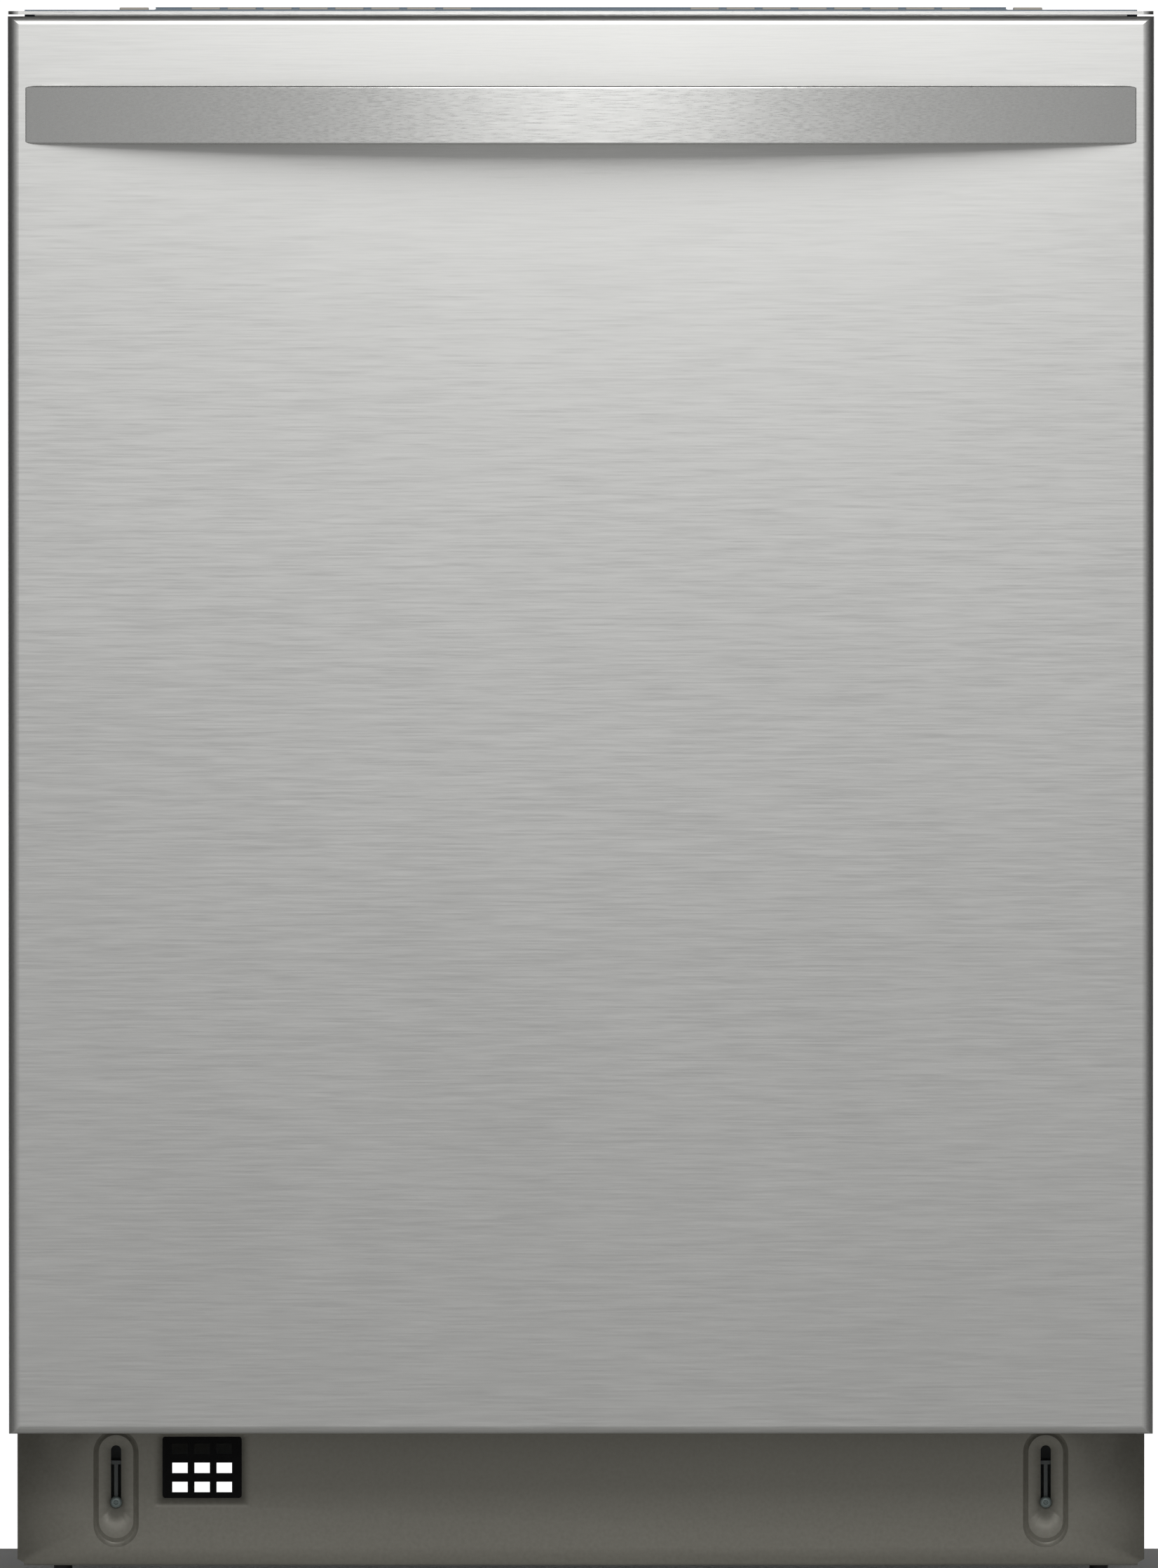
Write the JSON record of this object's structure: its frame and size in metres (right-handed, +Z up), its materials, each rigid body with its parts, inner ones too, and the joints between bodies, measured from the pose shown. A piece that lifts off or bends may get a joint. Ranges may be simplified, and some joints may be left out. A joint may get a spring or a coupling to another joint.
{
  "type": "built-in dishwasher",
  "caption": "Built-in dishwasher with a brushed steel door, arched bar handle, top-edge keys, slotted kick plate, pull-out wire racks and spray arms.",
  "frame": {"origin": "centre of the footprint on the floor, under the middle of the box", "axes": "+Z up, +X to the right seen from the front, the door faces -Y"},
  "size_m": [0.606, 0.667, 0.86],
  "materials": {
    "brushed_stainless": "fine horizontal brushed grain",
    "inner_stainless": "bright rolled sheet",
    "console_plastic": "fine moulded texture",
    "key_plastic": "satin metallic paint",
    "dark_plastic": "moulded",
    "grey_plastic": "moulded",
    "blue_plastic": "moulded",
    "white_plastic": "moulded",
    "kick_paint": "satin paint",
    "zinc_plate": "galvanised sheet",
    "rubber_seal": "extruded",
    "felt_blanket": "pressed fibre felt",
    "rack_coating": "nylon coated wire",
    "valve_brass": "turned"
  },
  "bodies": {
    "cabinet": {"tub_shell": "inner_stainless", "tub_frame": "inner_stainless", "door_gasket": "rubber_seal", "insulation_blanket": "felt_blanket", "base_frame": "zinc_plate", "levelling_feet": "dark_plastic", "kick_screws": "zinc_plate", "worktop_brackets": "zinc_plate", "sump": "dark_plastic", "circulation_pump": "dark_plastic", "drain_pump": "dark_plastic", "heating_element": "inner_stainless", "feed_pipe": "grey_plastic", "inlet_valve": "valve_brass", "junction_box": "zinc_plate", "rack_rails": "inner_stainless", "door_springs": "zinc_plate"},
    "door": {"door_skin": "brushed_stainless", "door_liner": "inner_stainless", "door_handle": "brushed_stainless", "trim_strip": "brushed_stainless", "console": "console_plastic", "door_latch": "dark_plastic", "dispenser": "dark_plastic", "hinge_arms": "zinc_plate"},
    "upper_rack": {"upper_rack": "rack_coating"},
    "cutlery_tray": {"cutlery_tray": "rack_coating"},
    "lower_rack": {"lower_rack": "rack_coating"},
    "kick_plate": {"kick_plate": "kick_paint", "vent_grille": "dark_plastic"},
    "detergent_lid": {"detergent_lid": "grey_plastic"},
    "rinse_cap": {"rinse_cap": "blue_plastic"},
    "cup_shelf": {"cup_shelf": "rack_coating"},
    "middle_arm": {"middle_arm": "grey_plastic"},
    "front_wheels": {"front_wheels": "grey_plastic"},
    "rear_wheels": {"rear_wheels": "grey_plastic"},
    "lower_tines": {"lower_tines": "rack_coating"},
    "cutlery_basket": {"cutlery_basket": "grey_plastic"},
    "lower_arm": {"lower_arm": "grey_plastic"},
    "top_arm": {"top_arm": "grey_plastic"},
    "filter": {"filter": "grey_plastic"},
    "float": {"float": "white_plastic"},
    "key_1": {"key_1": "key_plastic"},
    "key_2": {"key_2": "key_plastic"},
    "key_3": {"key_3": "key_plastic"},
    "key_4": {"key_4": "key_plastic"},
    "key_5": {"key_5": "key_plastic"},
    "key_6": {"key_6": "key_plastic"},
    "key_7": {"key_7": "key_plastic"},
    "key_8": {"key_8": "key_plastic"},
    "key_9": {"key_9": "key_plastic"},
    "key_10": {"key_10": "key_plastic"},
    "key_11": {"key_11": "key_plastic"},
    "key_12": {"key_12": "key_plastic"},
    "key_13": {"key_13": "key_plastic"},
    "key_14": {"key_14": "key_plastic"},
    "key_15": {"key_15": "key_plastic"},
    "key_16": {"key_16": "key_plastic"},
    "key_17": {"key_17": "key_plastic"},
    "key_18": {"key_18": "key_plastic"}
  },
  "joints": [
    {"name": "door_hinge", "type": "hinge", "parent": "cabinet", "child": "door", "pos_m": [0, -0.2565, 0.152], "axis": [1, 0, 0], "range_deg": [0, 90], "stiffness_Nm_per_rad": 24, "deforming": ["door_springs"]},
    {"name": "upper_rack_slide", "type": "slide", "parent": "cabinet", "child": "upper_rack", "axis": [0, -1, 0], "range_m": [0, 0.45]},
    {"name": "cutlery_tray_slide", "type": "slide", "parent": "cabinet", "child": "cutlery_tray", "axis": [0, -1, 0], "range_m": [0, 0.45]},
    {"name": "lower_rack_slide", "type": "slide", "parent": "cabinet", "child": "lower_rack", "axis": [0, -1, 0], "range_m": [0, 0.16]},
    {"name": "tines_fold", "type": "hinge", "parent": "lower_rack", "child": "lower_tines", "pos_m": [0, -0.0455, 0.23], "axis": [-1, 0, 0], "range_deg": [0, 80]},
    {"name": "basket_lift", "type": "slide", "parent": "lower_rack", "child": "cutlery_basket", "axis": [0, 0, 1], "range_m": [0, 0.09]},
    {"name": "cup_shelf_fold", "type": "hinge", "parent": "upper_rack", "child": "cup_shelf", "pos_m": [-0.23, 0, 0.546], "axis": [0, -1, 0], "range_deg": [0, 85]},
    {"name": "lower_arm_spin", "type": "hinge", "parent": "cabinet", "child": "lower_arm", "pos_m": [0, -0.00625, 0.182], "axis": [0, 0, 1], "continuous": true},
    {"name": "middle_arm_spin", "type": "hinge", "parent": "upper_rack", "child": "middle_arm", "pos_m": [0, 0.03975, 0.442], "axis": [0, 0, 1], "continuous": true},
    {"name": "top_arm_spin", "type": "hinge", "parent": "cabinet", "child": "top_arm", "pos_m": [0, 0.03975, 0.788], "axis": [0, 0, 1], "continuous": true},
    {"name": "kick_plate_slide", "type": "slide", "parent": "cabinet", "child": "kick_plate", "axis": [0, 0, 1], "range_m": [-0.025, 0]},
    {"name": "detergent_lid_slide", "type": "slide", "parent": "door", "child": "detergent_lid", "axis": [-1, 0, 0], "range_m": [0, 0.06]},
    {"name": "rinse_cap_turn", "type": "hinge", "parent": "door", "child": "rinse_cap", "pos_m": [0.098, -0.2305, 0.481], "axis": [0, 1, 0], "range_deg": [0, 90]},
    {"name": "filter_twist", "type": "hinge", "parent": "cabinet", "child": "filter", "pos_m": [0, 0.07575, 0.12], "axis": [0, 0, 1], "range_deg": [0, 90]},
    {"name": "float_rise", "type": "slide", "parent": "cabinet", "child": "float", "axis": [0, 0, 1], "range_m": [0, 0.012]},
    {"name": "front_wheels_spin", "type": "hinge", "parent": "lower_rack", "child": "front_wheels", "pos_m": [0, -0.1055, 0.1986], "axis": [1, 0, 0], "continuous": true},
    {"name": "rear_wheels_spin", "type": "hinge", "parent": "lower_rack", "child": "rear_wheels", "pos_m": [0, 0.1875, 0.1986], "axis": [1, 0, 0], "continuous": true},
    {"name": "key_1_press", "type": "slide", "parent": "door", "child": "key_1", "axis": [0, 0, -1], "range_m": [0, 0.001], "stiffness_N_per_m": 400},
    {"name": "key_2_press", "type": "slide", "parent": "door", "child": "key_2", "axis": [0, 0, -1], "range_m": [0, 0.001], "stiffness_N_per_m": 400},
    {"name": "key_3_press", "type": "slide", "parent": "door", "child": "key_3", "axis": [0, 0, -1], "range_m": [0, 0.001], "stiffness_N_per_m": 400},
    {"name": "key_4_press", "type": "slide", "parent": "door", "child": "key_4", "axis": [0, 0, -1], "range_m": [0, 0.001], "stiffness_N_per_m": 400},
    {"name": "key_5_press", "type": "slide", "parent": "door", "child": "key_5", "axis": [0, 0, -1], "range_m": [0, 0.001], "stiffness_N_per_m": 400},
    {"name": "key_6_press", "type": "slide", "parent": "door", "child": "key_6", "axis": [0, 0, -1], "range_m": [0, 0.001], "stiffness_N_per_m": 400},
    {"name": "key_7_press", "type": "slide", "parent": "door", "child": "key_7", "axis": [0, 0, -1], "range_m": [0, 0.001], "stiffness_N_per_m": 400},
    {"name": "key_8_press", "type": "slide", "parent": "door", "child": "key_8", "axis": [0, 0, -1], "range_m": [0, 0.001], "stiffness_N_per_m": 400},
    {"name": "key_9_press", "type": "slide", "parent": "door", "child": "key_9", "axis": [0, 0, -1], "range_m": [0, 0.001], "stiffness_N_per_m": 400},
    {"name": "key_10_press", "type": "slide", "parent": "door", "child": "key_10", "axis": [0, 0, -1], "range_m": [0, 0.001], "stiffness_N_per_m": 400},
    {"name": "key_11_press", "type": "slide", "parent": "door", "child": "key_11", "axis": [0, 0, -1], "range_m": [0, 0.001], "stiffness_N_per_m": 400},
    {"name": "key_12_press", "type": "slide", "parent": "door", "child": "key_12", "axis": [0, 0, -1], "range_m": [0, 0.001], "stiffness_N_per_m": 400},
    {"name": "key_13_press", "type": "slide", "parent": "door", "child": "key_13", "axis": [0, 0, -1], "range_m": [0, 0.001], "stiffness_N_per_m": 400},
    {"name": "key_14_press", "type": "slide", "parent": "door", "child": "key_14", "axis": [0, 0, -1], "range_m": [0, 0.001], "stiffness_N_per_m": 400},
    {"name": "key_15_press", "type": "slide", "parent": "door", "child": "key_15", "axis": [0, 0, -1], "range_m": [0, 0.001], "stiffness_N_per_m": 400},
    {"name": "key_16_press", "type": "slide", "parent": "door", "child": "key_16", "axis": [0, 0, -1], "range_m": [0, 0.001], "stiffness_N_per_m": 400},
    {"name": "key_17_press", "type": "slide", "parent": "door", "child": "key_17", "axis": [0, 0, -1], "range_m": [0, 0.001], "stiffness_N_per_m": 400},
    {"name": "key_18_press", "type": "slide", "parent": "door", "child": "key_18", "axis": [0, 0, -1], "range_m": [0, 0.001], "stiffness_N_per_m": 400}
  ],
  "couplings": [
    {"joint": "upper_rack_slide", "follows": "door_hinge", "m_per_rad": 0.28},
    {"joint": "cutlery_tray_slide", "follows": "door_hinge", "m_per_rad": 0.28},
    {"joint": "lower_rack_slide", "follows": "door_hinge", "m_per_rad": 0.1}
  ]
}
